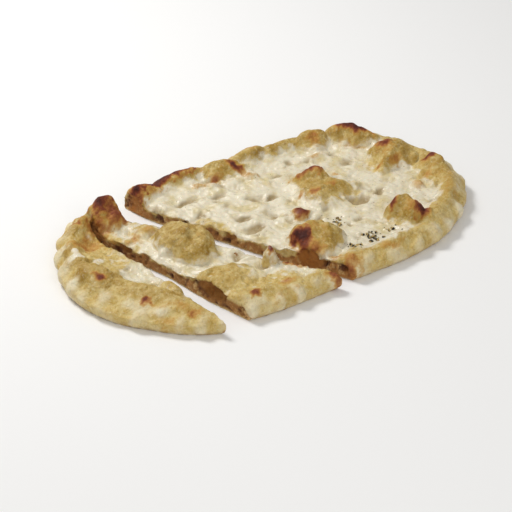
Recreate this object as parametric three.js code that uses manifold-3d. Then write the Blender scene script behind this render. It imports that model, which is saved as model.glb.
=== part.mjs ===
// A hand-stretched cheese focaccia, cut into one large piece, a wedge-shaped slice and an end slice.
//
// It is made here in the order a baker makes it: a flat oval loaf is shaped and bakes with its bubbles, a
// knife cuts it twice, the slices are drawn a little apart, and cracked pepper is scattered on the cheese.
// Bread and cheese bake into one body, so each slice is one solid.
//
// Millimetres. +X runs along the loaf towards its uncut end, +Y across it and +Z up. The slices lie on z = 0.

import * as THREE from "three";
import { mergeVertices } from "three/addons/utils/BufferGeometryUtils.js";
import Module from "manifold-3d";

const wasm = await Module();
wasm.setup();

// ---- the loaf ----

const middleDepth = 12.5; // the flat middle that holds the cheese
const rimRise = 5.5; // how far the rim stands above the middle
const rimInset = 13; // from the edge of the loaf to the crest of the rim
const rimWidth = 8; // half width of the crest
const shoulderWidth = 11; // the rounded shoulder between the side and the crest
const sideHeight = 7; // where the side turns into the shoulder
const footTuck = 2.5; // how far the side tucks in where the loaf meets the oven floor
const thinSide = { at: [-116, -38], reach: 42, extra: 1.3 }; // the dough drawn out into a long slope
const bubbleSoftness = 1.3; // how gently a bubble's foot runs out into the loaf
const cells = { along: 56, across: 34, up: 3, crowding: 1.15 }; // crowding: finer towards the edge
const outlineSteps = 300;
const mergeDistance = 1e-4;

// The outline of the uncut loaf, anticlockwise from the middle of the uncut end.
const outlinePoints = [
  [167, -5], [165, 20], [157, 46], [140, 69], [115, 83], [80, 90], [40, 93], [-5, 95], [-42, 98], [-72, 96],
  [-93, 92], [-106, 85], [-118, 73], [-127, 55], [-135, 36], [-139, 16], [-138, -1], [-133, -18], [-124, -36],
  [-111, -51], [-98, -65], [-84, -75], [-68, -83], [-45, -88], [-10, -91], [30, -93], [65, -93], [104, -86],
  [136, -68], [160, -43],
];
const outline = new THREE.CatmullRomCurve3(outlinePoints.map(([x, y]) => new THREE.Vector3(x, y, 0)), true);
const outlineSamples = outline.getSpacedPoints(outlineSteps);

// Bubbles blown up in the oven: centre, half lengths, turn in degrees and rise. A hollow has a fall.
const bubbles = [
  // along the rim of the large piece
  { at: [126, 60], half: [21, 11], turn: -50, rise: 8 },
  { at: [97, 71], half: [15, 12], turn: -10, rise: 6 },
  { at: [14, 77], half: [20, 11], turn: 0, rise: 5 },
  { at: [-22, 88], half: [21, 9], turn: 0, rise: 4 },
  { at: [-57, 85], half: [15, 14], turn: 0, rise: 5 },
  { at: [146, -18], half: [16, 20], turn: 0, rise: 4 },
  // inside the large piece
  { at: [133, 14], half: [20, 22], turn: 15, rise: 14 },
  { at: [83, -59], half: [19, 15], turn: -62, rise: 17 },
  { at: [56, 7], half: [24, 29], turn: -20, rise: 10 },
  { at: [60, 23], half: [15, 10], turn: -45, rise: 8 },
  { at: [76, 2], half: [15, 10], turn: -35, rise: 3 },
  { at: [22, -11], half: [9, 8], turn: 0, rise: 6 },
  { at: [11, -46], half: [24, 26], turn: 0, rise: 15 },
  { at: [125, -31], half: [8, 8], turn: 0, rise: 3 },
  { at: [25, 55], half: [9, 8], turn: 0, rise: 3 },
  { at: [85, 50], half: [12, 10], turn: 0, rise: 2 },
  // on the wedge-shaped slice
  { at: [-79, 77], half: [17, 15], turn: 0, rise: 13 },
  { at: [-56, 9], half: [21, 28], turn: 8, rise: 17 },
  { at: [-66, 43], half: [13, 11], turn: 0, rise: 4 },
  { at: [-54, -46], half: [26, 22], turn: 0, rise: 7 },
  { at: [-17, -45], half: [9, 9], turn: 0, rise: 11 },
  // on the end slice
  { at: [-112, 22], half: [28, 42], turn: 0, rise: 3 },
  { at: [-122, 6], half: [18, 19], turn: 0, rise: 5 },
  { at: [-103, 73], half: [16, 10], turn: 20, rise: 3 },
  { at: [-74, -29], half: [14, 13], turn: 0, rise: 6 },
  { at: [-101, 52], half: [18, 16], turn: 0, rise: -4 },
  { at: [-90, -4], half: [16, 16], turn: 0, rise: -2 },
];

function distanceToEdge(x, y) {
  return Math.min(...outlineSamples.map((p) => Math.hypot(p.x - x, p.y - y)));
}

function riseOf({ at, half, turn, rise }, x, y) {
  const angle = THREE.MathUtils.degToRad(turn);
  const along = (x - at[0]) * Math.cos(angle) + (y - at[1]) * Math.sin(angle);
  const across = (y - at[1]) * Math.cos(angle) - (x - at[0]) * Math.sin(angle);
  const reach = (along / half[0]) ** 2 + (across / half[1]) ** 2;
  return reach < 1 ? rise * (1 - reach) ** bubbleSoftness : 0;
}

function topHeight(x, y) {
  const away = Math.hypot(x - thinSide.at[0], y - thinSide.at[1]) / thinSide.reach;
  const thinness = Math.exp(-(away ** 2));
  const edge = distanceToEdge(x, y) / (1 + thinSide.extra * thinness);
  const crest = rimRise * Math.exp(-(((edge - rimInset) / rimWidth) ** 2));
  const puffed = bubbles.reduce((sum, bubble) => sum + riseOf(bubble, x, y), middleDepth + crest);
  const shoulder = Math.min(edge / shoulderWidth, 1);
  return sideHeight + (puffed - sideHeight) * Math.sqrt(1 - (1 - shoulder) ** 2);
}

// A block of cells is pressed into the outline: its square plan becomes round by the elliptical grid mapping.
function bakeLoaf() {
  const dough = new THREE.BoxGeometry(2, 2, 2, cells.along, cells.across, cells.up);
  dough.deleteAttribute("normal");
  dough.deleteAttribute("uv");
  const places = dough.getAttribute("position");
  const rounded = (t) => Math.sign(t) * (1 - (1 - Math.abs(t)) ** cells.crowding);
  for (let i = 0; i < places.count; i++) {
    const [u, v, w] = [rounded(places.getX(i)), rounded(places.getY(i)), places.getZ(i)];
    const round = [u * Math.sqrt(1 - (v * v) / 2), v * Math.sqrt(1 - (u * u) / 2)];
    const reach = Math.min(Math.hypot(...round), 1);
    const turn = (Math.atan2(round[1], round[0]) / (2 * Math.PI) + 1) % 1;
    const edge = outline.getPointAt(turn);
    const tuck = footTuck * ((1 - w) / 2) ** 2;
    const spot = edge.clone().multiplyScalar(reach * (1 - tuck / edge.length()));
    const height = w === 1 ? topHeight(spot.x, spot.y) : (sideHeight * (w + 1)) / 2;
    places.setXYZ(i, spot.x, spot.y, height);
  }
  return mergeVertices(dough, mergeDistance);
}

// ---- the knife ----

const beyondSides = 130; // well outside the loaf
const beyondEnds = 220;
const cutSteps = 24; // straight steps between two points of a cut
const knifeBlock = { from: -20, height: 100 };
const endCut = [
  [-94, beyondSides], [-91, 75], [-87, 45], [-82, 21], [-78, 3], [-76, -15], [-75, -30], [-73, -49],
  [-68, -75], [-60, -beyondSides],
];
const wedgeCut = [
  [-73, beyondSides], [-65, 84], [-59, 60], [-49, 38], [-36, 11], [-25, -18], [-9, -52], [10, -90],
  [28, -beyondSides],
];
const pastUncutEnd = [[beyondEnds, -beyondSides], [beyondEnds, beyondSides]];
const pastCutEnd = [[-beyondEnds, beyondSides], [-beyondEnds, -beyondSides]];

// Each slice lies between two lines, and is then drawn away from the loaf and turned a little.
const slices = [
  { name: "large_piece", from: wedgeCut, to: pastUncutEnd, shift: [0, 0], turn: 0 },
  { name: "wedge_slice", from: endCut, to: [...wedgeCut].reverse(), shift: [-18, -4], turn: 2.5 },
  { name: "end_slice", from: pastCutEnd, to: [...endCut].reverse(), shift: [-30.5, -5], turn: -5 },
];

function drawCut(points) {
  const corners = points.map(([x, y]) => new THREE.Vector3(x, y, 0));
  const curve = new THREE.CatmullRomCurve3(corners, false, "centripetal");
  return points.length > 2 ? curve.getPoints(cutSteps) : corners;
}

function blockBetween({ from, to }) {
  const plan = new THREE.Shape([...drawCut(from), ...drawCut(to)].map((p) => new THREE.Vector2(p.x, p.y)));
  const block = new THREE.ExtrudeGeometry(plan, { depth: knifeBlock.height, bevelEnabled: false });
  block.deleteAttribute("normal");
  block.deleteAttribute("uv");
  return mergeVertices(block.translate(0, 0, knifeBlock.from), mergeDistance);
}

function toSolid(geometry) {
  return new wasm.Manifold(
    new wasm.Mesh({
      numProp: 3,
      vertProperties: geometry.getAttribute("position").array,
      triVerts: new Uint32Array(geometry.index.array),
    }),
  );
}

function toGeometry(solid) {
  const mesh = solid.getMesh();
  const geometry = new THREE.BufferGeometry();
  geometry.setAttribute("position", new THREE.BufferAttribute(mesh.vertProperties, 3));
  geometry.setIndex(new THREE.BufferAttribute(mesh.triVerts, 1));
  geometry.computeVertexNormals();
  return geometry;
}

// ---- the pepper ----

const pepperPatches = [
  { at: [47, -69], spread: 8, flakes: 10 },
  { at: [30, -69], spread: 5, flakes: 4 },
  { at: [42, -35], spread: 6, flakes: 4 },
  { at: [63, -67], spread: 4, flakes: 2 },
];
const flakeSize = { least: 1.8, most: 2.8 };
const flakeShape = [1, 0.75, 0.6];
const flakeGap = 0.3;
const dropHeight = 100;

// The same chances every time, from 0 to 1: the Lehmer generator.
const chanceStep = 16807;
const chanceSpan = 2 ** 31 - 1;
let chanceState = 7;
function chance() {
  chanceState = (chanceState * chanceStep) % chanceSpan;
  return chanceState / chanceSpan;
}

// Crushed peppercorns lie where they fell: each flake is a lump of its own, resting just clear of the cheese.
function scatterPepper(piece) {
  const probe = new THREE.Raycaster();
  const flakes = [];
  for (const { at, spread, flakes: wanted } of pepperPatches) {
    for (let made = 0; made < wanted; ) {
      const [x, y] = at.map((centre) => centre + (chance() + chance() - 1) * spread);
      const size = flakeSize.least + chance() * (flakeSize.most - flakeSize.least);
      const crowded = ({ position }) => Math.hypot(position.x - x, position.y - y) < flakeSize.most;
      if (flakes.some(crowded)) continue;
      probe.set(new THREE.Vector3(x, y, dropHeight), new THREE.Vector3(0, 0, -1));
      const cheese = probe.intersectObject(piece)[0].point.z;
      const lump = new THREE.IcosahedronGeometry(size / 2).scale(...flakeShape).rotateZ(chance() * Math.PI);
      const flake = new THREE.Mesh(lump, pepper);
      flake.name = `pepper_flake_${String(flakes.length + 1).padStart(2, "0")}`;
      flake.position.set(x, y, cheese + size / 2 + flakeGap);
      flakes.push(flake);
      made++;
    }
  }
  return flakes;
}

// ---- the focaccia ----

const baked = new THREE.MeshStandardMaterial({
  name: "baked_dough_and_cheese", color: 0xdcb878, roughness: 0.6,
});
const pepper = new THREE.MeshStandardMaterial({ name: "cracked_pepper", color: 0x2c241c, roughness: 0.8 });

const spread = new THREE.Group();
const loaf = toSolid(bakeLoaf());
for (const slice of slices) {
  const piece = new THREE.Mesh(toGeometry(loaf.intersect(toSolid(blockBetween(slice)))), baked);
  piece.name = slice.name;
  piece.geometry.computeBoundingBox();
  const pivot = piece.geometry.boundingBox.getCenter(new THREE.Vector3()).setZ(0);
  piece.geometry.translate(-pivot.x, -pivot.y, 0);
  piece.position.set(pivot.x + slice.shift[0], pivot.y + slice.shift[1], 0);
  piece.rotation.z = THREE.MathUtils.degToRad(slice.turn);
  spread.add(piece);
}
spread.updateMatrixWorld(true);
spread.add(...scatterPepper(spread.getObjectByName("large_piece")));

// The origin is the middle of the whole spread, at the surface it lies on.
const middle = new THREE.Box3().setFromObject(spread, true).getCenter(new THREE.Vector3());
spread.position.set(-middle.x, -middle.y, 0);

const focaccia = new THREE.Group();
focaccia.add(spread);

export default focaccia;
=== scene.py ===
import math
import random

import bmesh
import bpy
import numpy as np
from mathutils import Matrix, Vector
from mathutils.bvhtree import BVHTree


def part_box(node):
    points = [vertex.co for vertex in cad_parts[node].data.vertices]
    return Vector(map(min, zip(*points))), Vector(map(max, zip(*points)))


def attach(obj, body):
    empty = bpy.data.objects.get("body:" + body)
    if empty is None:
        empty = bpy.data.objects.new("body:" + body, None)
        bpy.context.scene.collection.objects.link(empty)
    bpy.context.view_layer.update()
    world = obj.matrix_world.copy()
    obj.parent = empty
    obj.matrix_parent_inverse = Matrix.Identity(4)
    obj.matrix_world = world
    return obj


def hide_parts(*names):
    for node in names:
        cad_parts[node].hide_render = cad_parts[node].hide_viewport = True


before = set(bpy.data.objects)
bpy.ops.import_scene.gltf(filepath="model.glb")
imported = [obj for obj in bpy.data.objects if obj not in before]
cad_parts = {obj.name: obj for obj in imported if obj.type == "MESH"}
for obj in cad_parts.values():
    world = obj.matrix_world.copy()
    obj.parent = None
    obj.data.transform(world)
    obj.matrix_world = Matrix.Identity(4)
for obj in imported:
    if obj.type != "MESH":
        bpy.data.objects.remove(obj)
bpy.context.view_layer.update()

mm = 0.001
scene = bpy.context.scene


def hexColour(code):  # sRGB hex to linear
    parts = [int(code[i:i + 2], 16) / 255 for i in (1, 3, 5)]
    return [c / 12.92 if c <= 0.04045 else ((c + 0.055) / 1.055) ** 2.4 for c in parts] + [1.0]


def addNode(tree, kind, settings=None, values=None, links=None):
    node = tree.nodes.new(kind)
    for name, value in (settings or {}).items():
        setattr(node, name, value)
    for name, value in (values or {}).items():
        node.inputs[name].default_value = value
    for name, source in (links or {}).items():
        tree.links.new(source, node.inputs[name])
    return node


# camera, floor and light

studio = {
    "azimuth": -36.6,  # degrees round from the loaf's front
    "elevation": 32.5,
    "distance": 1500,  # mm
    "lens": 142.4,
    "lookAt": (-26, -21),  # mm from the middle of the uncut loaf
    "floorSize": 9000,
    "floorColour": "#F4F3F1",
    "keyFrom": (-0.62, 0.42, 0.95),  # right, away and up, as seen by the camera
    "keyPower": 9,
    "keySize": 360,
    "fillFrom": (0.35, -1.0, 0.75),
    "fillPower": 3.5,
    "fillSize": 900,
    "skyStrength": 0.42,
}


def cameraAxes():
    turn = math.radians(studio["azimuth"])
    right = Vector((math.cos(turn), math.sin(turn), 0))
    away = Vector((-math.sin(turn), math.cos(turn), 0))
    return right, away


def placeCamera():
    tilt = math.radians(studio["elevation"])
    _, away = cameraAxes()
    back = -away * math.cos(tilt) + Vector((0, 0, math.sin(tilt)))
    data = bpy.data.cameras.new("tableCamera")
    data.lens = studio["lens"]
    data.clip_start = 0.05
    data.clip_end = 50
    camera = bpy.data.objects.new("tableCamera", data)
    camera.rotation_mode = "QUATERNION"
    target = Vector((*(np.array(studio["lookAt"]) + spreadMiddle), 0))
    camera.location = (target + back * studio["distance"]) * mm
    camera.rotation_quaternion = (-back).to_track_quat("-Z", "Y")
    scene.collection.objects.link(camera)
    scene.camera = camera


def softbox(name, heading, power, size):
    right, away = cameraAxes()
    direction = (right * heading[0] + away * heading[1] + Vector((0, 0, heading[2]))).normalized()
    data = bpy.data.lights.new(name, "AREA")
    data.energy = power
    data.size = size * mm
    light = bpy.data.objects.new(name, data)
    light.location = direction * 1.2
    light.rotation_mode = "QUATERNION"
    light.rotation_quaternion = (-direction).to_track_quat("-Z", "Y")
    scene.collection.objects.link(light)


def layFloor():
    bm = bmesh.new()
    bmesh.ops.create_grid(bm, x_segments=2, y_segments=2, size=studio["floorSize"] * mm / 2)
    mesh = bpy.data.meshes.new("floor")
    bm.to_mesh(mesh)
    bm.free()
    floor = bpy.data.objects.new("floor", mesh)
    scene.collection.objects.link(floor)
    paint = bpy.data.materials.new("matteWhiteBackdropPaper")
    paint.use_nodes = True
    shader = paint.node_tree.nodes["Principled BSDF"]
    shader.inputs["Base Color"].default_value = hexColour(studio["floorColour"])
    shader.inputs["Roughness"].default_value = 0.9
    mesh.materials.append(paint)


layFloor()
softbox("keyLight", studio["keyFrom"], studio["keyPower"], studio["keySize"])
softbox("fillLight", studio["fillFrom"], studio["fillPower"], studio["fillSize"])
scene.world = bpy.data.worlds.new("paleRoom")
scene.world.use_nodes = True
scene.world.node_tree.nodes["Background"].inputs["Strength"].default_value = studio["skyStrength"]
scene.world.node_tree.nodes["Background"].inputs["Color"].default_value = (1, 1, 1, 1)
scene.view_settings.view_transform = "Standard"
print("floor and light placed")


# the whole loaf, before it was cut: millimetres from its middle, +x to its uncut end

loaf = {
    "middleDepth": 12.5,  # the flat middle under the cheese
    "rimRise": 5.5,
    "rimInset": 13,
    "rimWidth": 8,
    "rimWaves": 0.28,  # how unevenly high the rim is, of its rise
    "frontDip": 0.45,  # how much lower it is along the front
    "shoulderWidth": 11,
    "sideHeight": 7,
    "thinSide": (-116, -38, 42, 1.3),  # x, y, reach and how much wider the slope is there
    "outline": [
        (167, -5), (165, 20), (157, 46), (140, 69), (115, 83), (80, 90), (40, 93), (-5, 95), (-42, 98),
        (-72, 96), (-93, 92), (-106, 85), (-118, 73), (-127, 55), (-135, 36), (-139, 16), (-138, -1),
        (-133, -18), (-124, -36), (-111, -51), (-98, -65), (-84, -75), (-68, -83), (-45, -88), (-10, -91),
        (30, -93), (65, -93), (104, -86), (136, -68), (160, -43),
    ],
}

# the bubbles of each slice: x, y, half length, half width, turn in degrees, rise and steepness of the foot.
# A rise with a minus sign is a dip.
bubbles = {
    "large_piece": [
        # along the rim
        (126, 58, 21, 11, -50, 9.0, 0.9), (97, 68, 15, 12, -10, 6.0, 1.0), (14, 75, 19, 10, -8, 6.0, 0.9),
        (-22, 88, 21, 9, 0, 4.0, 1.0), (-57, 85, 15, 14, 0, 5.0, 1.0), (44, 84, 15, 9, 0, 4.0, 1.0),
        (148, -17, 15, 14, 0, 6.0, 1.1), (139, -30, 11, 9, 30, 3.0, 1.0),
        # in the middle
        (134, 15, 18, 20, 15, 13.0, 0.95), (130, 22, 10, 8, 0, 3.0, 1.0), (118, 6, 12, 10, 0, 4.5, 1.3),
        (84, -58, 15, 12, -62, 17.0, 0.85), (93, -68, 10, 9, 0, 4.0, 1.0),
        (57, 8, 24, 29, -20, 9.0, 1.3), (60, 23, 15, 9, -45, 8.0, 1.0),
        (76, 2, 15, 10, -35, 3.0, 1.2), (24, -9, 8.5, 7, 0, 5.5, 0.8), (12, -46, 22, 23, 15, 14.0, 0.9),
        (3, -42, 11, 12, 0, 3.0, 1.1), (123, -30, 6, 6, 0, 4.0, 0.9), (28, 57, 8, 7, 0, 3.0, 1.2),
        (86, 52, 11, 8, -15, 2.4, 1.4), (-12, 66, 10, 7, 0, 2.2, 1.3), (44, -4, 8, 7, 0, 2.2, 1.2),
        (82, 16, 7, 4, -40, 1.8, 1.2),
    ],
    "wedge_slice": [
        (-79, 77, 17, 15, 0, 12.0, 0.9), (-53, 10, 22, 28, 8, 17.0, 0.85), (-64, 43, 12, 10, 0, 4.0, 1.0),
        (-57, -43, 25, 19, 0, 6.0, 1.0), (-71, -32, 9, 8, 0, 4.0, 1.1), (-18, -45, 7, 6.5, 0, 12.5, 1.1),
        (-50, 3, 16, 5, 62, -2.8, 1.2),
    ],
    "end_slice": [
        (-84, 80, 15, 14, 0, 9.0, 0.9), (-112, 22, 27, 40, 0, 3.0, 1.2), (-122, 6, 18, 17, 0, 4.5, 1.1),
        (-103, 73, 15, 9, 20, 3.0, 1.0), (-74, -29, 13, 12, 0, 5.0, 1.0), (-101, 52, 17, 15, 0, -5.0, 1.3),
        (-90, -4, 15, 15, 0, -1.8, 1.5), (-122, 34, 11, 9, 20, 2.0, 1.4),
    ],
}

# hollows in the melted cheese: x, y, half length, half width, turn and depth
hollows = [
    (58, 77, 8, 5, 0, 2.0), (-34, 57, 13, 5, 0, 2.2), (22, 24, 8, 6, 0, 2.6), (-9, 50, 9, 4, 0, 1.8),
    (-13, 13, 10, 5, -30, 2.2), (-13, -5, 13, 8, 0, 2.6), (7, 2, 7, 5, 0, 2.0), (-1, 60, 7, 6, 0, 1.4),
    (76, -18, 13, 7, -8, 3.2), (94, -16, 9, 5, 10, 2.2), (142, 2, 12, 6, 20, 3.0), (102, 32, 10, 7, 0, 1.6),
    (64, 58, 9, 6, 20, 1.6), (100, 48, 7, 5, 0, 1.2), (46, 46, 8, 5, 0, 1.6), (8, 30, 8, 5, -20, 1.6),
    (-38, 34, 9, 6, 30, 1.8), (58, -38, 9, 6, 0, 1.6), (104, -38, 8, 6, 0, 1.6), (32, -24, 7, 5, 40, 1.8),
    (-62, 62, 8, 5, 0, 1.8), (-30, -24, 10, 6, -60, 2.0), (-24, -46, 8, 6, 0, 1.6), (-86, -20, 8, 6, 0, 1.8),
]

# melted cheese over the crust, or with a minus sign bare crust: x, y, half length, half width, turn, strength
smears = [
    # on the large piece
    (40, -2, 12, 11, 0, 0.3), (66, 0, 22, 14, -35, -0.8), (58, 18, 15, 12, -45, -0.8),
    (32, -54, 11, 12, 0, 0.35), (20, -42, 15, 15, 0, -0.6), (-3, -50, 9, 13, 0, -1.4),
    (136, 18, 17, 19, 0, -1.0), (118, 11, 14, 14, 0, -0.8), (82, -60, 16, 13, -60, -1.0),
    (130, -8, 9, 9, 0, 0.7), (117, -44, 10, 8, 0, 0.5), (148, -22, 22, 30, 0, -1.0),
    (112, -70, 26, 12, 20, -0.7), (14, 74, 18, 10, -8, -0.6), (56, -74, 30, 7, 0, 0.5),
    # on the wedge slice
    # the second patch here, on the left of the big bubble, is cream partly for melted cheese and partly a
    # painted highlight
    (-70, 16, 9, 11, 30, 0.5), (-75, 3, 9, 7, 0, 0.6), (-49, 7, 22, 26, 0, -1.1), (-66, 48, 14, 18, 0, -0.35),
    (-57, -43, 22, 15, 0, -0.7), (-52, -62, 30, 13, -12, -1.0), (-26, -68, 18, 11, -20, -0.8),
    (-18, -45, 12, 10, 0, 1.5),
    # on the end slice
    (-112, 32, 32, 46, 0, -1.1), (-104, -26, 32, 28, 40, -0.8), (-103, 50, 20, 18, 0, -1.0),
    # the first two patches here are cream partly for melted cheese and partly a painted highlight
    (-120, 37, 13, 8, 50, 2.2), (-112, 24, 13, 6, 40, 1.5), (-90, -6, 15, 21, 5, 1.35),
]

# where the oven caught the bread: x, y, half length, half width, turn and strength
toasts = [
    # on the large piece
    (129, 59, 17, 6.5, -50, 1.0), (121, 47, 15, 3, -52, 0.3), (97, 66, 6, 5, 0, 0.5),
    (131, 20, 8, 5.5, 0, 0.82),
    (128, 13, 9, 7, 0, 0.28), (114, 9, 6, 4, 0, 0.5), (129, 3, 6, 5, 0, 0.52), (151, -13, 7, 6, -20, 0.95),
    (138, -25, 6, 5, 0, 0.45), (123, -31, 6, 5, 0, 0.36), (146, -30, 16, 11, -60, 0.2),
    (134, -53, 16, 9, 50, 0.2), (79, -53.5, 6.5, 4.2, 30, 0.92), (85, -65, 6, 5, -40, 0.42),
    (93, -68, 8, 7, 0, 0.95),
    (59, 25, 14, 7.5, -45, 0.85), (70, 15, 9, 4, -45, 0.6), (80, 21, 6, 2.5, -30, 0.5), (62, 3, 6, 4, 0, 0.5),
    (48, 1, 5, 3.5, 30, 0.62), (39, 8, 5, 3, 0, 0.5), (24, -10, 7.5, 6, 0, 0.92), (8, -49, 8, 6, 0, 0.36),
    (-3, -45, 7.5, 9, 0, 1.1), (-5, -52, 8, 8, 0, 0.8), (-2, -60, 9, 6, 0, 0.6), (7, -74, 9, 4, -60, 0.42),
    (14, -85, 9, 8, 0, 0.5), (52, -84, 16, 4, -8, 0.36), (86, 53, 8, 5, 0, 0.35), (28, 58, 7, 6, 0, 0.42),
    (-12, 68, 9, 5, 0, 0.36), (46, 86, 9, 6, 0, 0.5), (22, 71, 7, 6, -40, 0.95), (1, 70, 9, 5, 10, 0.62),
    (-36, 86, 36, 5.5, 0, 1.0), (-64, 83, 9, 9, 0, 1.05), (-52, 80, 9, 5, 0, 0.45), (2, 90, 14, 4, 0, 0.45),
    (70, 84, 12, 6, 0, 0.3), (36, 90, 14, 4, 0, 0.3),
    # on the wedge slice
    (-80, 79, 15, 11, 0, 0.98), (-73, 70, 12, 9, 0, 0.72), (-88, 68, 8, 10, 0, 0.6), (-78, 40, 8, 9, 0, 0.36),
    (-64, 42, 8, 6, 0, 0.34), (-45, 0, 14, 16, 0, 0.16), (-18, -45.5, 3, 3, 0, 0.85),
    (-26, -76, 9, 6, 0, 0.5), (-53, -75, 5.5, 5, 0, 0.78), (7, -88, 7, 6, 0, 0.7),
    (-54, -46, 18, 10, 0, 0.14), (-36, -84, 18, 5, 0, 0.22),
    # on the end slice
    (-121, -1, 4.5, 4, 0, 0.85), (-104, -37, 4.4, 2.3, -49, 0.9), (-81, -65, 6, 4.5, 0, 0.55),
    (-97, -60, 6, 5, 0, 0.34), (-103, 53, 17, 11, 20, 0.5), (-103, 77, 12, 3.5, -20, 0.7),
    (-88, -54, 18, 4, -40, 0.32),
]

# hollows torn in a cut face: x, y, height, half length, half height and depth
caves = {
    "large_piece": [(-3, -58, 9, 12, 8, 5.0), (-28, 4, 8, 6, 4, 2.5)],
    "wedge_slice": [(-72, -47, 10, 15, 7, 6.5), (-79, 42, 9, 9, 4, 3.0)],
    "end_slice": [(-82, 24, 8, 9, 4, 2.5)],
}

# the two cuts, from the back of the loaf to its front
cuts = {
    "endCut": [(-94, 130), (-91, 75), (-87, 45), (-82, 21), (-78, 3), (-76, -15), (-75, -30), (-73, -49),
               (-68, -75), (-60, -130)],
    "wedgeCut": [(-73, 130), (-65, 84), (-59, 60), (-49, 38), (-36, 11), (-25, -18), (-9, -52), (10, -90),
                 (28, -130)],
}

# how each slice was drawn away from the loaf, the cuts it has (+1 where it lies on their +x side)
# and the size of its mesh cells
slices = {
    "large_piece": {"shift": (0, 0), "turn": 0, "cuts": {"wedgeCut": 1}, "cell": 0.97},
    "wedge_slice": {"shift": (-18, -4), "turn": 2.5, "cuts": {"wedgeCut": -1, "endCut": 1}, "cell": 0.75},
    "end_slice": {"shift": (-30.5, -5), "turn": -5, "cuts": {"endCut": -1}, "cell": 0.75},
}


def smoothLine(points, closed, steps):  # a centripetal Catmull-Rom curve through the points
    points = np.array(points, float)
    count = len(points)
    if closed:
        padded = np.vstack([points[-1:], points, points[:2]])
    else:
        padded = np.vstack([2 * points[0] - points[1], points, 2 * points[-1] - points[-2]])
    line = []
    for i in range(1, count + 1 if closed else count):
        a, b, c, d = padded[i - 1:i + 3]
        ab, bc, cd = (math.sqrt(np.linalg.norm(q - p)) for p, q in ((a, b), (b, c), (c, d)))
        leave = ((b - a) / ab - (c - a) / (ab + bc) + (c - b) / bc) * bc
        arrive = ((c - b) / bc - (d - b) / (bc + cd) + (d - c) / cd) * bc
        for t in np.linspace(0, 1, steps, endpoint=False):
            line.append((2 * t**3 - 3 * t**2 + 1) * b + (t**3 - 2 * t**2 + t) * leave
                        + (3 * t**2 - 2 * t**3) * c + (t**3 - t**2) * arrive)
    return np.array(line)


def nearest(spots, line):  # distance to the line's nearest point, and that point's number
    distance = np.empty(len(spots))
    number = np.empty(len(spots), int)
    for start in range(0, len(spots), 20000):
        part = spots[start:start + 20000]
        gaps = ((part[:, None, :] - line[None, :, :]) ** 2).sum(axis=2)
        number[start:start + 20000] = gaps.argmin(axis=1)
        distance[start:start + 20000] = np.sqrt(gaps.min(axis=1))
    return distance, number


def ramp(values, low, high):  # 0 below low, 1 above high, smooth between
    t = np.clip((values - low) / (high - low), 0, 1)
    return t * t * (3 - 2 * t)


def ripple(spots, size, seed, waves=28):  # a smooth random field of about -1 to 1 with lumps of that size
    chance = np.random.default_rng(seed)
    heading = chance.normal(size=(spots.shape[1], waves))
    heading *= math.pi / size * chance.uniform(0.55, 1.45, waves) / np.linalg.norm(heading, axis=0)
    return np.cos(spots @ heading + chance.uniform(0, 2 * math.pi, waves)).sum(axis=1) / math.sqrt(waves)


def patchReach(spots, x, y, long, wide, turn):  # squared distance from a patch's middle, 1 at its edge
    angle = math.radians(turn)
    along = (spots[:, 0] - x) * math.cos(angle) + (spots[:, 1] - y) * math.sin(angle)
    across = (spots[:, 1] - y) * math.cos(angle) - (spots[:, 0] - x) * math.sin(angle)
    return (along / long) ** 2 + (across / wide) ** 2


outline = smoothLine(loaf["outline"], True, 12)


relief = {
    "smallDents": 260,
    "smallDentSize": (2.2, 6.0),
    "namedDents": 1.25,  # how much deeper the named hollows are than their number
    "wander": 1.9,  # slow and quick bending of every patch's edge, mm, and the size of its waves
    "wanderSize": 13,
    "flutter": 0.7,
    "flutterSize": 5,
    "flow": 0.85,  # slow swells of the cheese, mm
    "ridges": 0.5,
    "grain": 0.25,
    "skinLumps": 0.42,  # unevenness of the baked skin, mm
    "skinGrain": 0.22,
}


def dentsOf(spots):  # depth of the cheese hollows, the large ones by name and small ones by chance
    depth = np.zeros(len(spots))
    for x, y, long, wide, turn, deep in hollows:
        inside = np.clip(1 - patchReach(spots, x, y, long, wide, turn), 0, 1)
        depth += relief["namedDents"] * deep * inside**1.6
    chance = np.random.default_rng(31)
    for _ in range(relief["smallDents"]):
        x, y = chance.uniform(-135, 160), chance.uniform(-85, 90)
        long = chance.uniform(*relief["smallDentSize"])
        wide, turn = long * chance.uniform(0.5, 0.9), chance.uniform(-60, 60)
        deep = long * chance.uniform(0.14, 0.32)
        depth = np.maximum(depth, deep * np.clip(1 - patchReach(spots, x, y, long, wide, turn), 0, 1) ** 1.3)
    return depth


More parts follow.
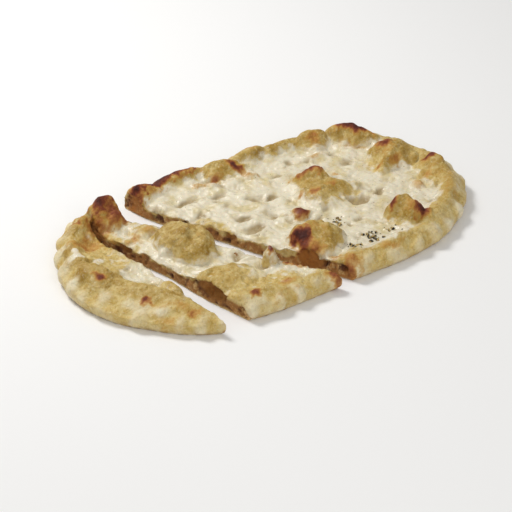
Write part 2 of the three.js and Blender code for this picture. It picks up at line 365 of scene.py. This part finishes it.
def surveyTop(name, spots):  # the height of the baked top, and what is known of each spot
    edge, _ = nearest(spots, outline)
    x, y, reach, extra = loaf["thinSide"]
    thin = np.exp(-((spots[:, 0] - x) ** 2 + (spots[:, 1] - y) ** 2) / reach**2)
    edge = edge / (1 + extra * thin)
    wander = np.stack([ripple(spots, relief["wanderSize"], seed) for seed in (1, 2)], axis=1)
    flutter = np.stack([ripple(spots, relief["flutterSize"], seed) for seed in (9, 10)], axis=1)
    bent = spots + relief["wander"] * wander + relief["flutter"] * flutter
    front = ramp(-spots[:, 1], 30, 75) * ramp(110 - spots[:, 0], 0, 40)
    crestRise = loaf["rimRise"] * (1 - loaf["frontDip"] * front + loaf["rimWaves"] * ripple(spots, 24, 3))
    crest = crestRise * np.exp(-(((edge - loaf["rimInset"]) / loaf["rimWidth"]) ** 2))
    puff = np.zeros(len(spots))
    for x, y, long, wide, turn, rise, steep in bubbles[name]:
        inside = np.clip(1 - patchReach(bent, x, y, long, wide, turn), 0, 1)
        puff += rise * inside**steep
    raised = crest + puff
    smeared = np.zeros(len(spots))
    for x, y, long, wide, turn, strength in smears:
        smeared += strength * np.clip(1.15 - patchReach(bent, x, y, long, wide, turn), 0, 1)
    middle = 1 - ramp(raised, 1.5, 7)  # 1 on the flat cheese, 0 on the rim and the bubbles
    inner = ramp(edge, 8, 20)
    dents = dentsOf(bent)
    melt = relief["flow"] * ripple(spots, 11, 4) - relief["ridges"] * np.abs(ripple(spots, 7, 6))
    melt += relief["grain"] * ripple(spots, 3, 5) - dents
    crust = relief["skinLumps"] * ripple(spots, 5.5, 7) + relief["skinGrain"] * ripple(spots, 2.4, 8)
    crust -= 0.3 * dents
    height = loaf["middleDepth"] + raised + inner * (middle * melt + (1 - middle) * crust)
    shoulder = np.clip(edge / loaf["shoulderWidth"], 0, 1)
    side = loaf["sideHeight"]
    height = side + (height - side) * np.sqrt(1 - (1 - shoulder) ** 2)
    return {"height": height, "edge": edge, "raised": raised, "bent": bent, "smeared": smeared,
            "dents": dents * (0.35 + 0.65 * middle) * inner}


def spinOf(facts):
    turn = math.radians(facts["turn"])
    return np.array([[math.cos(turn), -math.sin(turn)], [math.sin(turn), math.cos(turn)]])


def toLoaf(name, coords):  # puts a slice's points back where they were in the uncut loaf
    facts = slices[name]
    spin = spinOf(facts)
    back = coords[:, :2] @ spin
    middle = (facts["cadLow"] + facts["cadHigh"]) / 2
    home = spin @ middle - np.array(facts["shift"]) - spreadMiddle
    return back - middle + home, spin


def cadPoints(name):
    return np.array([v.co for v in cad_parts[name].data.vertices]) / mm


low, high = (np.array(corner)[:2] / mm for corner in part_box("large_piece"))
spreadMiddle = np.array([high[0] - outline[:, 0].max(), low[1] - outline[:, 1].min()])
for name, facts in slices.items():
    straight = cadPoints(name)[:, :2] @ spinOf(facts)
    facts["cadLow"], facts["cadHigh"] = straight.min(axis=0), straight.max(axis=0)
print("loaf surveyed, middle of the spread at", np.round(spreadMiddle, 2))
placeCamera()


def copyOfSlice(name, pieceName):  # the CAD solid, merged and made into even dough cells
    bm = bmesh.new()
    bm.from_mesh(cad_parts[name].data)
    bmesh.ops.remove_doubles(bm, verts=bm.verts, dist=0.01 * mm)
    mesh = bpy.data.meshes.new(pieceName)
    bm.to_mesh(mesh)
    tree = BVHTree.FromBMesh(bm)
    bm.free()
    piece = bpy.data.objects.new(pieceName, mesh)
    scene.collection.objects.link(piece)
    remesh = piece.modifiers.new("evenCells", "REMESH")
    remesh.mode = "VOXEL"
    remesh.voxel_size = slices[name]["cell"] * 1 * mm
    soften = piece.modifiers.new("soften", "SMOOTH")
    soften.factor = 0.5
    soften.iterations = 4
    applyModifiers(piece)
    return piece, tree


def applyModifiers(piece):
    view = bpy.context.evaluated_depsgraph_get()
    finished = bpy.data.meshes.new_from_object(piece.evaluated_get(view))
    finished.name = piece.name
    piece.modifiers.clear()
    piece.data = finished


def readPoints(mesh, what="co"):
    source = mesh.vertices if what == "co" else mesh.vertex_normals
    values = np.empty(len(source) * 3)
    source.foreach_get("co" if what == "co" else "vector", values)
    return values.reshape(-1, 3)


def cadTop(tree, points, guess):  # the CAD solid's own top above each point
    tops = guess.copy()
    down = Vector((0, 0, -1))
    for i, (x, y, _) in enumerate(points):
        hit = tree.ray_cast(Vector((x * mm, y * mm, 0.1)), down)[0]
        if hit:
            tops[i] = hit.z / mm
    return tops


crumb = {
    "bigHoles": 0.07,  # holes for each mm of cut
    "smallHoles": 0.55,
    "bigRadius": (2.4, 4.6),
    "smallRadius": (1.1, 2.3),
    "drape": (1.0, 3.2),  # mm of cheese and skin hanging over the top of a cut
    "lip": 1.9,  # how far the top sinks along a cut
    "lipWidth": 4.5,
    "faceReach": (-2.0, -0.9),  # a cut's face fades out from 0.9 to 2 mm inside it
    "upright": 0.75,  # and where the surface lies flatter than this
    "ragged": (0.45, 0.9),  # fine and coarse unevenness of the face, mm
    "hang": 1.1,  # how unevenly the cheese hangs over, mm
    "bulge": 0.3,  # how far the folds of a flank may stand out past a cut, mm
    "probe": 2.2,  # the CAD top is looked up this far inside a cut, mm
}


def alongCut(spots, cutName, side):  # how far inside the cut each spot is, the way in, and where along it
    line = smoothLine(cuts[cutName], False, 24)
    travel = np.concatenate([[0], np.cumsum(np.linalg.norm(np.diff(line, axis=0), axis=1))])
    heading = np.gradient(line, axis=0)
    inward = np.stack([-heading[:, 1], heading[:, 0]], axis=1)
    inward /= np.linalg.norm(inward, axis=1)[:, None]
    inward *= np.sign(inward[:, :1]) * side
    _, number = nearest(spots, line)
    inside = ((spots - line[number]) * inward[number]).sum(axis=1)
    return inside, inward[number], travel[number]


def cutRelief(face, travel, up, below, cut, name, seed):  # how deep holes and tearing go into the cut face
    onFace = np.nonzero(face > 0.02)[0]
    along, level = travel[onFace], up[onFace]
    chance = np.random.default_rng(seed)
    start, end = along.min(), along.max()
    found = np.zeros(len(onFace))
    for rate, radii in ((crumb["bigHoles"], crumb["bigRadius"]), (crumb["smallHoles"], crumb["smallRadius"])):
        for _ in range(int(rate * (end - start))):
            at, middle = chance.uniform(start, end), chance.uniform(1.5, 20)
            long = chance.uniform(*radii)
            tall = long * chance.uniform(0.5, 0.9)
            lean = chance.uniform(-0.5, 0.5)
            reach = ((along - at + lean * (level - middle)) / long) ** 2 + ((level - middle) / tall) ** 2
            found = np.maximum(found, long * chance.uniform(0.45, 0.8) * np.clip(1 - reach, 0, 1) ** 0.8)
    torn = np.zeros(len(onFace))
    for x, y, middle, long, tall, deep in caves[name]:
        _, _, at = alongCut(np.array([[x, y]], float), cut, 1)
        reach = ((along - at) / long) ** 2 + ((level - middle) / tall) ** 2
        torn = np.maximum(torn, deep * np.clip(1 - reach, 0, 1) ** 0.8)
    closed = ramp(below[onFace], 1.0, 3.0) * ramp(level, 0.5, 2.0)
    shape = np.stack([along, level], axis=1)
    fine, coarse = crumb["ragged"]
    ragged = fine * ripple(shape, 3.4, seed + 1) + coarse * ripple(shape, 10, seed + 2)
    depth, cave = np.zeros(len(face)), np.zeros(len(face))
    depth[onFace] = face[onFace] * (np.maximum(found * closed, torn) + ragged * ramp(level, 0, 3))
    cave[onFace] = np.clip(torn / 2, 0, 1) * face[onFace]
    return depth, cave


skin = {
    "lumps": 0.6,  # soft lumps and low upright folds on the flanks, mm
    "folds": 1.1,
    "blisters": 110,  # on the rim and bubbles of each slice
    "blisterRadius": (1.5, 4.0),
    "blisterRise": 0.3,  # of its radius
}

# how the oven coloured the top; a pair is where a layer starts and where it is full, or the other way round
baking = {
    "fray": (0.17, 0.13),  # raggedness of the toasted spots, coarse and fine
    "toastEdge": (0.05, 1.5),  # of a spot's radius
    "goldenRise": (1.0, 8),  # mm above the flat middle
    "goldenHeight": (3, 11),  # mm above the table
    "cheeseRise": (1.2, 6.5),
    "cheeseEdge": (9, 17),  # mm in from the loaf's edge
    "soleToast": 0.75,  # how much fainter a toasted spot is underneath
    "fullDent": 2.4,  # mm
}


def blistersOf(solid, upward, survey, sides, seed):  # the height of the small blisters in the skin
    chance = np.random.default_rng(seed)
    rimSpots = np.nonzero((survey["raised"] > 3) & (upward > 0.4))[0]
    blister = np.zeros(len(solid))
    for i in chance.choice(rimSpots, skin["blisters"]):
        radius = chance.uniform(*skin["blisterRadius"])
        gap = ((solid - solid[i]) ** 2).sum(axis=1) / radius**2
        near = gap < 1
        rise = skin["blisterRise"] * radius * chance.uniform(0.4, 1)
        blister[near] = np.maximum(blister[near], rise * (1 - gap[near]))
    for _, _, inside, _, _ in sides:
        blister *= ramp(inside, -1, 3)
    return blister


def bakedLayers(spots, solid, upward, survey, sole):  # how toasted, golden and cheesy each spot is
    toast = np.zeros(len(solid))
    coarse, fine = baking["fray"]
    fray = 1 + coarse * ripple(solid, 3.6, 21) + fine * ripple(solid, 1.7, 22)
    for x, y, long, wide, turn, strength in toasts:
        reach = np.sqrt(patchReach(survey["bent"], x, y, long, wide, turn)) * fray
        toast = np.maximum(toast, strength * (1 - ramp(reach, *baking["toastEdge"])))
    puffed = survey["raised"] + 1.6 * ripple(spots, 8, 23)
    golden = ramp(puffed, *baking["goldenRise"]) * (0.75 + 0.25 * ripple(spots, 14, 24))
    golden *= ramp(solid[:, 2], *baking["goldenHeight"])
    bare = survey["raised"] + 1.3 * ripple(spots, 6, 25)
    cheese = (1 - ramp(bare, *baking["cheeseRise"])) * ramp(survey["edge"], *baking["cheeseEdge"])
    cheese = np.clip(cheese + survey["smeared"] * (1 + 0.5 * ripple(spots, 4, 26)), 0, 1)
    return {
        "toast": toast * (1 - baking["soleToast"] * sole),
        "golden": golden,
        "cheese": cheese * ramp(upward, 0.1, 0.5),
        # dent: how deep each cheese hollow is; the material paints shade from it
        "dent": survey["dents"] / baking["fullDent"],
    }


def sculptSlice(name, pieceName, seed):
    piece, tree = copyOfSlice(name, pieceName)
    mesh = piece.data
    points = readPoints(mesh) / mm
    spots, spin = toLoaf(name, points)
    survey = surveyTop(name, spots)
    newTop = survey["height"]
    sides = []
    probe = points.copy()
    for cut, side in slices[name]["cuts"].items():
        inside, inward, travel = alongCut(spots, cut, side)
        sag = crumb["lip"] * (1 + 0.5 * ripple(np.stack([travel, 0 * travel], axis=1), 9, seed + side))
        newTop = newTop - sag * (1 - ramp(inside, -0.5, crumb["lipWidth"])) ** 1.5
        probe[:, :2] += (inward * np.clip(crumb["probe"] - inside, 0, 4)[:, None]) @ spin.T
        sides.append((cut, side, inside, inward, travel))
    oldTop = np.maximum(cadTop(tree, probe, newTop), 1)
    stretch = 1 + (np.clip(newTop / oldTop, 0.7, 1.5) - 1) * ramp(survey["edge"], 0.5, 5)
    heights = points[:, 2] * stretch
    points[:, 2] = heights
    mesh.vertices.foreach_set("co", (points * mm).ravel())
    mesh.update()
    normals = readPoints(mesh, "normal")
    loafNormals = normals[:, :2] @ spin
    solid = np.column_stack([spots, heights])

    # the flanks' own unevenness
    flank = ramp(-survey["edge"], -12, -3)
    lumps = 0.5 * ripple(solid, 8, 11) + 0.3 * ripple(solid, 3.2, 12)
    folds = ripple(solid * (1, 1, 0.25), 7.5, 13)
    sole = ramp(-normals[:, 2], 0.6, 0.9)
    swell = flank * (skin["lumps"] * lumps + skin["folds"] * folds) * ramp(heights, 1, 5) * (1 - sole)

    move = loafNormals * swell[:, None]
    layers = {layer: np.zeros(len(points)) for layer in ("crumb", "hollow", "cave")}
    below = newTop - heights
    for cut, side, inside, inward, travel in sides:
        face = ramp(-inside, *crumb["faceReach"]) * ramp(crumb["upright"] - np.abs(normals[:, 2]), 0, 0.35)
        depth, cave = cutRelief(face, travel, heights, below, cut, name, seed + side)
        move += inward * depth[:, None]
        hang = crumb["hang"] * ripple(np.stack([travel, heights], axis=1), 5, seed + 7)
        opened = face * np.maximum(ramp(below + hang, *crumb["drape"]), cave) * ramp(heights, 0.5, 1.4)
        layers["crumb"] = np.maximum(layers["crumb"], opened)
        # hollow: depth of the crumb's holes, which the material paints as shade
        layers["hollow"] = np.maximum(layers["hollow"], depth / 4)
        layers["cave"] = np.maximum(layers["cave"], cave)
        seed += 40  # every cut has its own holes
    for _, _, inside, inward, _ in sides:  # nothing bulges far past a cut, into the next slice
        bulge = np.minimum((move * inward).sum(axis=1) + crumb["bulge"], 0) * (1 - ramp(inside, 1, 5))
        move -= inward * bulge[:, None]
    points[:, :2] += move @ spin.T
    points[:, 2] += normals[:, 2] * swell

    blister = blistersOf(solid, normals[:, 2], survey, sides, seed + 5)
    points += normals * (blister * (1 - layers["crumb"]))[:, None]
    points[:, 2] = np.maximum(points[:, 2], 0)
    mesh.vertices.foreach_set("co", (points * mm).ravel())

    layers.update(bakedLayers(spots, solid, normals[:, 2], survey, sole))
    # the lowest 5 mm of the flanks take the sole's colour: partly oven browning, partly painted shade along
    # the bottom edge
    layers["sole"] = np.maximum(sole, 0.6 * ramp(-heights, -5, 0) * (1 - layers["crumb"]))
    layers["flour"] = flank * (1 - sole) * ramp(folds, -0.6, 1.0)
    for layer, values in layers.items():
        mesh.attributes.new(layer, "FLOAT", "POINT").data.foreach_set("value", np.clip(values, 0, 1.2))
    mesh.shade_smooth()
    mesh.materials.clear()
    mesh.materials.append(bakedFocaccia)
    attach(piece, "root")
    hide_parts(name)
    print(pieceName, "sculpted with", len(mesh.polygons), "faces")
    return piece


bread = {
    "paleCrust": "#D9C383",
    "goldCrust": "#BC9736",
    "deepGold": "#9C7616",
    "floury": "#E5D9B7",
    "cream": "#E6DCC2",
    "butter": "#D6C597",
    # painted shade for the cheese hollows, partly also the colour of thinner cheese
    "thinCheeseAndHollowShade": "#A8936B",
    "honey": "#C0913C",
    "amber": "#A9692A",
    "brown": "#7C3512",
    "scorch": "#451304",
    "crumbPale": "#CDAA70",
    "crumbLight": "#A87539",
    # crumb's own darker strands, and painted shade in the holes of the cut face
    "crumbDarkAndHoleShade": "#552D16",
    "caveGold": "#9A6628",
    "soleBrownAndBottomShade": "#A67C42",
    "herb": "#57502F",
    "grainSize": 1.1,  # mm, the finest mottling of the skin
    "mottleSize": 2.6,
    "darkSpeckSize": 1.3,
    "paleSpeckSize": 0.8,
    "speckStrength": 0.3,
    "poolSize": 7,
    "patchSize": 11,
    "herbSpacing": 7.5,
    "herbSize": 0.95,
}


def mixColour(tree, low, high, share):
    mixer = addNode(tree, "ShaderNodeMix", {"data_type": "RGBA"})
    for socket, value in ((0, share), (6, low), (7, high)):
        if isinstance(value, bpy.types.NodeSocket):
            tree.links.new(value, mixer.inputs[socket])
        else:
            mixer.inputs[socket].default_value = value
    return mixer.outputs[2]


def makeBakedFocaccia():
    # oven-baked wheat dough under melted soft cheese: matt golden skin, glossy cream, toasted bubble tops
    material = bpy.data.materials.new("ovenBakedDoughAndMeltedCheese")
    material.use_nodes = True
    tree = material.node_tree
    shader = tree.nodes["Principled BSDF"]
    place = addNode(tree, "ShaderNodeTexCoord").outputs["Object"]
    layer = {
        name: addNode(tree, "ShaderNodeAttribute", {"attribute_name": name}).outputs["Fac"]
        for name in ("toast", "golden", "cheese", "crumb", "hollow", "cave", "sole", "dent", "flour")
    }
    colour = {name: hexColour(code) for name, code in bread.items() if isinstance(code, str)}

    def noise(size, detail=3.0, roughness=0.5):  # lumps of that many mm
        return addNode(tree, "ShaderNodeTexNoise", None,
                       {"Scale": 1 / (2 * size * mm), "Detail": detail, "Roughness": roughness},
                       {"Vector": place}).outputs["Fac"]

    def between(value, low, high):
        return addNode(tree, "ShaderNodeMapRange", {"interpolation_type": "SMOOTHSTEP"},
                       {"From Min": low, "From Max": high}, {"Value": value}).outputs["Result"]

    def combine(operation, first, second):
        node = addNode(tree, "ShaderNodeMath", {"operation": operation})
        for socket, value in enumerate((first, second)):
            if isinstance(value, bpy.types.NodeSocket):
                tree.links.new(value, node.inputs[socket])
            else:
                node.inputs[socket].default_value = value
        return node.outputs[0]

    def scaled(value, share):
        return combine("MULTIPLY", value, share)

    def swing(value, amount):  # a noise's swing about its middle
        return scaled(combine("SUBTRACT", value, 0.5), amount)

    mottle = noise(bread["mottleSize"], 4, 0.6)
    patches = noise(bread["patchSize"], 3)
    fine = noise(bread["grainSize"], 3, 0.6)
    freckles = between(combine("ADD", mottle, scaled(patches, 0.35)), 0.38, 1.0)

    # skin: pale dough browned in freckles, deeper where it stands up, floury on the flanks
    crust = mixColour(tree, colour["paleCrust"], colour["goldCrust"], freckles)
    baked = combine("MULTIPLY", layer["golden"], between(combine("ADD", mottle, scaled(fine, 0.6)), 0.4, 1.0))
    crust = mixColour(tree, crust, colour["deepGold"], baked)
    darkSpecks = between(noise(bread["darkSpeckSize"], 2), 0.56, 0.68)
    crust = mixColour(tree, crust, colour["deepGold"], scaled(darkSpecks, bread["speckStrength"]))
    paleSpecks = between(noise(bread["paleSpeckSize"], 2), 0.57, 0.68)
    crust = mixColour(tree, crust, colour["floury"], scaled(paleSpecks, bread["speckStrength"]))
    dusted = combine("MULTIPLY", layer["flour"], between(patches, 0.2, 0.7))
    crust = mixColour(tree, crust, colour["floury"], dusted)

    # cheese: cream, breaking into the crust in specks; its hollows get painted shade, a darker grey-brown
    # that partly also stands for thinner cheese there
    pools = between(noise(bread["poolSize"], 4), 0.45, 0.7)
    cheeseColour = mixColour(tree, colour["cream"], colour["butter"], pools)
    # painted shade: the cheese darkens with the depth of its hollows
    cheeseColour = mixColour(tree, cheeseColour, colour["thinCheeseAndHollowShade"], between(layer["dent"], 0.05, 1.0))
    breaking = combine("ADD", combine("SUBTRACT", mottle, 0.5), swing(fine, 1.4))
    spread = combine("ADD", layer["cheese"], scaled(breaking, 0.9))
    top = mixColour(tree, crust, cheeseColour, between(spread, 0.1, 0.95))

    # herb dust: small dark specks in the cheese
    cells = addNode(tree, "ShaderNodeTexVoronoi", {"voronoi_dimensions": "2D"},
                    {"Scale": 1 / (bread["herbSpacing"] * mm)}, {"Vector": place})
    dot = between(cells.outputs["Distance"], bread["herbSize"] / 2 / bread["herbSpacing"], 0.02)
    chosen = addNode(tree, "ShaderNodeSeparateColor", None, None, {"Color": cells.outputs["Color"]})
    dot = combine("MULTIPLY", dot, between(chosen.outputs["Red"], 0.5, 0.6))
    dot = combine("MULTIPLY", dot, layer["cheese"])
    top = mixColour(tree, top, colour["herb"], scaled(dot, 0.75))

    # toasting, from amber through brown to scorched
    heat = combine("ADD", layer["toast"], swing(mottle, 0.5))
    heat = combine("ADD", heat, swing(fine, 0.35))
    top = mixColour(tree, top, colour["honey"], scaled(between(heat, 0.08, 0.4), 0.8))
    top = mixColour(tree, top, colour["amber"], scaled(between(heat, 0.28, 0.6), 0.85))
    top = mixColour(tree, top, colour["brown"], between(heat, 0.46, 0.82))
    top = mixColour(tree, top, colour["scorch"], between(heat, 0.74, 1.08))

    # crumb in the cut faces: painted shade in its holes, darker the deeper they go, and crumb colours kept
    # dark as painted shade for the narrow gaps between the slices
    strands = combine("ADD", scaled(fine, 0.5), mottle)
    inside = mixColour(tree, colour["crumbPale"], colour["crumbLight"], between(strands, 0.55, 0.75))
    shade = between(combine("ADD", layer["hollow"], scaled(strands, 0.8)), 0.5, 1.2)
    inside = mixColour(tree, inside, colour["crumbDarkAndHoleShade"], shade)
    cave = mixColour(tree, colour["caveGold"], colour["crumbLight"], between(mottle, 0.4, 0.7))
    inside = mixColour(tree, inside, cave, layer["cave"])
    inside = mixColour(tree, inside, colour["amber"], scaled(layer["toast"], 0.8))
    top = mixColour(tree, top, inside, layer["crumb"])

    # sole: baked on stone, browned in patches and dusted with flour; the same colour on the lowest 5 mm of
    # the flanks is partly oven browning and partly painted shade along the bottom edge
    sole = mixColour(tree, colour["soleBrownAndBottomShade"], colour["floury"], between(mottle, 0.4, 0.6))
    top = mixColour(tree, top, sole, layer["sole"])
    tree.links.new(top, shader.inputs["Base Color"])

    # roughness and grain: the cheese is glossier and smoother, the crumb and toasted spots are duller
    dull = combine("SUBTRACT", 0.58, scaled(layer["cheese"], 0.32))
    dull = combine("ADD", dull, scaled(combine("ADD", layer["crumb"], layer["toast"]), 0.22))
    dull = combine("SUBTRACT", dull, scaled(between(patches, 0.4, 0.65), 0.1))
    tree.links.new(dull, shader.inputs["Roughness"])
    rough = combine("SUBTRACT", 1.0, scaled(layer["cheese"], 0.4))
    grain = combine("MULTIPLY", combine("ADD", fine, scaled(mottle, 1.7)), rough)
    bump = addNode(tree, "ShaderNodeBump", None, {"Strength": 0.8, "Distance": 1.2 * mm}, {"Height": grain})
    tree.links.new(bump.outputs["Normal"], shader.inputs["Normal"])
    shader.inputs["IOR"].default_value = 1.45
    shader.inputs["Subsurface Weight"].default_value = 0.1
    shader.inputs["Subsurface Radius"].default_value = (1.0, 0.55, 0.3)
    shader.inputs["Subsurface Scale"].default_value = 2 * mm
    return material


bakedFocaccia = makeBakedFocaccia()
bakedPieces = [
    sculptSlice("large_piece", "bakedLargePiece", 100),
    sculptSlice("wedge_slice", "bakedWedgeSlice", 300),
    sculptSlice("end_slice", "bakedEndSlice", 500),
]


# crushed peppercorns

pepper = {
    "flakeScale": 1.6,
    "grains": 45,
    "grainSize": (0.8, 2.0),  # mm
    "spread": 3.8,
    "jitter": (0.6, 1.25),  # unevenness of a grain
    "width": (0.55, 0.85),  # and its width and thickness, of its length
    "thickness": (0.4, 0.7),
    "tilt": 0.5,  # radians
    "raise": 0.18,  # how high its middle lies, of its length
    "brokenSize": 1.6,  # mm
    "shell": "#1E1710",
    "core": "#C2A564",
}


def makePepperMaterial():
    # crushed black peppercorn: wrinkled dark shell with pale broken faces, dull
    material = bpy.data.materials.new("crushedBlackPeppercorn")
    material.use_nodes = True
    tree = material.node_tree
    shader = tree.nodes["Principled BSDF"]
    place = addNode(tree, "ShaderNodeTexCoord").outputs["Object"]
    broken = addNode(tree, "ShaderNodeTexNoise", None,
                     {"Scale": 1 / (pepper["brokenSize"] * mm), "Detail": 2.0}, {"Vector": place})
    sharp = addNode(tree, "ShaderNodeMapRange", None, {"From Min": 0.5, "From Max": 0.56},
                    {"Value": broken.outputs["Fac"]})
    shell, core = hexColour(pepper["shell"]), hexColour(pepper["core"])
    tree.links.new(mixColour(tree, shell, core, sharp.outputs["Result"]), shader.inputs["Base Color"])
    shader.inputs["Roughness"].default_value = 0.75
    return material


def scatterPepper():
    chance = random.Random(12)
    view = bpy.context.evaluated_depsgraph_get()
    surface = BVHTree.FromObject(bakedPieces[0], view)
    nodes = [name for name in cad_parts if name.startswith("pepper_flake")]
    bm = bmesh.new()

    def drop(x, y, size):
        hit = surface.ray_cast(Vector((x, y, 0.1)), Vector((0, 0, -1)))[0]
        if hit is None:
            return
        flake = bmesh.ops.create_icosphere(bm, subdivisions=2, radius=size / 2)["verts"]
        for vert in flake:
            vert.co *= chance.uniform(*pepper["jitter"])
        width, thickness = chance.uniform(*pepper["width"]), chance.uniform(*pepper["thickness"])
        shape = Matrix.Diagonal((1, width, thickness)).to_4x4()
        turn = Matrix.Rotation(chance.uniform(0, 6.28), 4, "Z")
        tip = Matrix.Rotation(chance.uniform(-pepper["tilt"], pepper["tilt"]), 4, "X")
        lie = Matrix.Translation(hit + Vector((0, 0, size * pepper["raise"])))
        bmesh.ops.transform(bm, matrix=lie @ (turn @ tip) @ shape, verts=flake)

    centres = []
    for name in sorted(nodes):
        low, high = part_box(name)
        centre = (low + high) / 2
        centres.append(centre)
        drop(centre.x, centre.y, max(high.x - low.x, high.y - low.y) * pepper["flakeScale"])
    for _ in range(pepper["grains"]):
        centre = chance.choice(centres)
        x = centre.x + chance.gauss(0, pepper["spread"]) * mm
        y = centre.y + chance.gauss(0, pepper["spread"]) * mm
        drop(x, y, chance.uniform(*pepper["grainSize"]) * mm)
    mesh = bpy.data.meshes.new("crushedPepper")
    bm.to_mesh(mesh)
    bm.free()
    mesh.materials.append(makePepperMaterial())
    piece = bpy.data.objects.new("crushedPepper", mesh)
    scene.collection.objects.link(piece)
    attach(piece, "root")
    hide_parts(*nodes)
    print("pepper scattered,", len(mesh.polygons), "faces")


scatterPepper()
